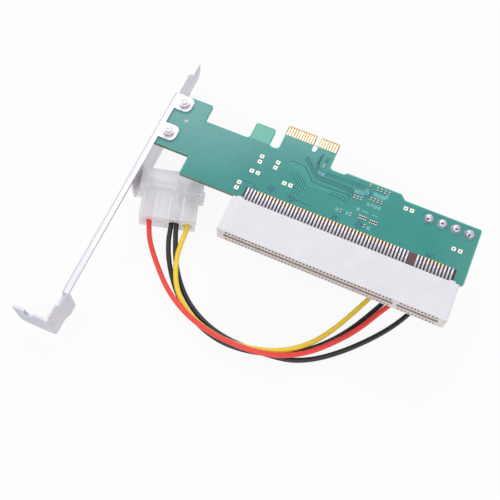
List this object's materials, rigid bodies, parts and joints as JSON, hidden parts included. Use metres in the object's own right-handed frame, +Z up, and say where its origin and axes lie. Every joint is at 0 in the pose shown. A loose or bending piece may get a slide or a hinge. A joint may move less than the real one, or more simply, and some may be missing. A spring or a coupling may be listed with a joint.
{
  "type": "pcie riser card",
  "caption": "Adapter riser card on a folded slot bracket: a board with a short edge tab and a long white slot, lying solder side up with its power lead and nylon plug.",
  "frame": {"origin": "on the surface that the card lies on, under the middle of the bounding box of everything except the lead and what is on it", "axes": "+X along the board from the bracket towards the power header, which lies five degrees higher; +Y along the bracket from its flange to its tongue, the way the edge tab points; +Z up from the surface, out of the solder side"},
  "size_m": [0.1384, 0.12, 0.031],
  "materials": {
    "board": "satin green solder mask over glass epoxy",
    "gold": "gold plating",
    "tin": "bright tin",
    "bracket_steel": "bright nickel-plated sheet",
    "screw_steel": "zinc-plated steel",
    "slot_plastic": "white moulding",
    "solder": "solder",
    "header_plastic": "natural nylon",
    "plug_nylon": "natural nylon, translucent",
    "terminal_brass": "tinned brass",
    "chip_plastic": "black moulding",
    "can_aluminium": "bare aluminium",
    "base_plastic": "black moulding",
    "crystal_steel": "metal can",
    "resistor_body": "dark glaze on ceramic",
    "capacitor_body": "ceramic",
    "red_vinyl": "red vinyl insulation",
    "yellow_vinyl": "yellow vinyl insulation",
    "black_vinyl": "black vinyl insulation"
  },
  "bodies": {
    "root": {"circuit_board": "board", "edge_fingers": "gold", "plated_pads": "tin", "slot_housing": "slot_plastic", "slot_contacts_solder_side": "tin", "slot_contacts_component_side": "tin", "bracket": "bracket_steel", "bracket_screws": "screw_steel", "power_header": "header_plastic", "header_pins": "terminal_brass", "header_solder_joints": "solder", "header_plug": "plug_nylon", "header_plug_sockets": "terminal_brass", "cable_plug": "plug_nylon", "cable_plug_pins": "terminal_brass", "bridge_chip": "chip_plastic", "bridge_chip_leads": "tin", "config_memory": "chip_plastic", "memory_leads": "tin", "regulator": "chip_plastic", "regulator_leads": "tin", "can_bases": "base_plastic", "electrolytic_cans": "can_aluminium", "crystal": "crystal_steel", "chip_resistors": "resistor_body", "resistor_ends": "tin", "resistor_arrays": "resistor_body", "array_ends": "tin", "chip_capacitors": "capacitor_body", "capacitor_ends": "tin", "wire_red": "red_vinyl", "wire_black_outer": "black_vinyl", "wire_black_inner": "black_vinyl", "wire_yellow": "yellow_vinyl"}
  },
  "joints": []
}
